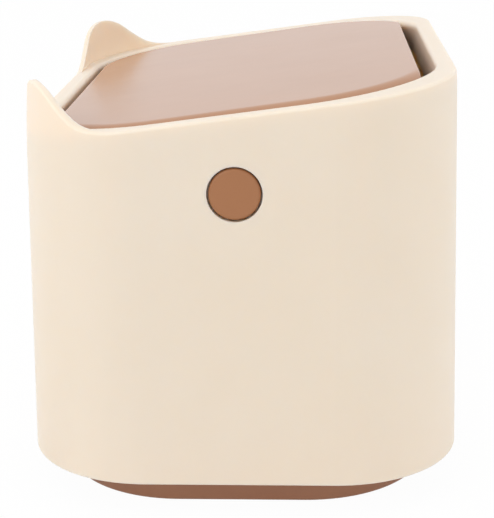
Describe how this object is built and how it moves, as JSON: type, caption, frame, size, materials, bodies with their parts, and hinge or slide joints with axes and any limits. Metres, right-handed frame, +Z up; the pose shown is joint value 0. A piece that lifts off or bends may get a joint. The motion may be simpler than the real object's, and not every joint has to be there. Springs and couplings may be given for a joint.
{
  "type": "swing-lid waste bin",
  "caption": "Small cat-eared waste bin: cream shell with a sloping rim, weighted brown swing lid on flush pivot discs, and an inner bucket that the shell lifts off.",
  "frame": {"origin": "on the floor under the middle of the bin", "axes": "+Z up, +X towards the high end of the sloping rim, +Y across the bin from flank to flank"},
  "size_m": [0.1444, 0.1986, 0.1389],
  "materials": {
    "shell_plastic": "satin",
    "lid_plastic": "satin",
    "disc_plastic": "satin",
    "bucket_plastic": "satin",
    "pad_rubber": "matte",
    "weight_steel": "satin",
    "screw_steel": "satin"
  },
  "bodies": {
    "bucket": {"inner_bucket": "bucket_plastic", "foot_pad_1": "pad_rubber", "foot_pad_2": "pad_rubber", "foot_pad_3": "pad_rubber", "foot_pad_4": "pad_rubber"},
    "shell": {"outer_shell": "shell_plastic"},
    "lid": {"lid_panel": "lid_plastic", "arm_screws": "screw_steel", "pivot_screws": "screw_steel", "cover_screws": "screw_steel", "lid_arm_near": "lid_plastic", "lid_arm_far": "lid_plastic", "pivot_disc_near": "disc_plastic", "pivot_disc_far": "disc_plastic", "counterweight_near": "weight_steel", "counterweight_far": "weight_steel", "weight_cover_near": "lid_plastic", "weight_cover_far": "lid_plastic"}
  },
  "joints": [
    {"name": "shell_lift", "type": "slide", "parent": "bucket", "child": "shell", "axis": [0, 0, 1], "range_m": [0, 0.12]},
    {"name": "lid_swing", "type": "hinge", "parent": "shell", "child": "lid", "pos_m": [0, 0, 0.10655], "axis": [0, 1, 0], "range_deg": [-75, 75]}
  ]
}
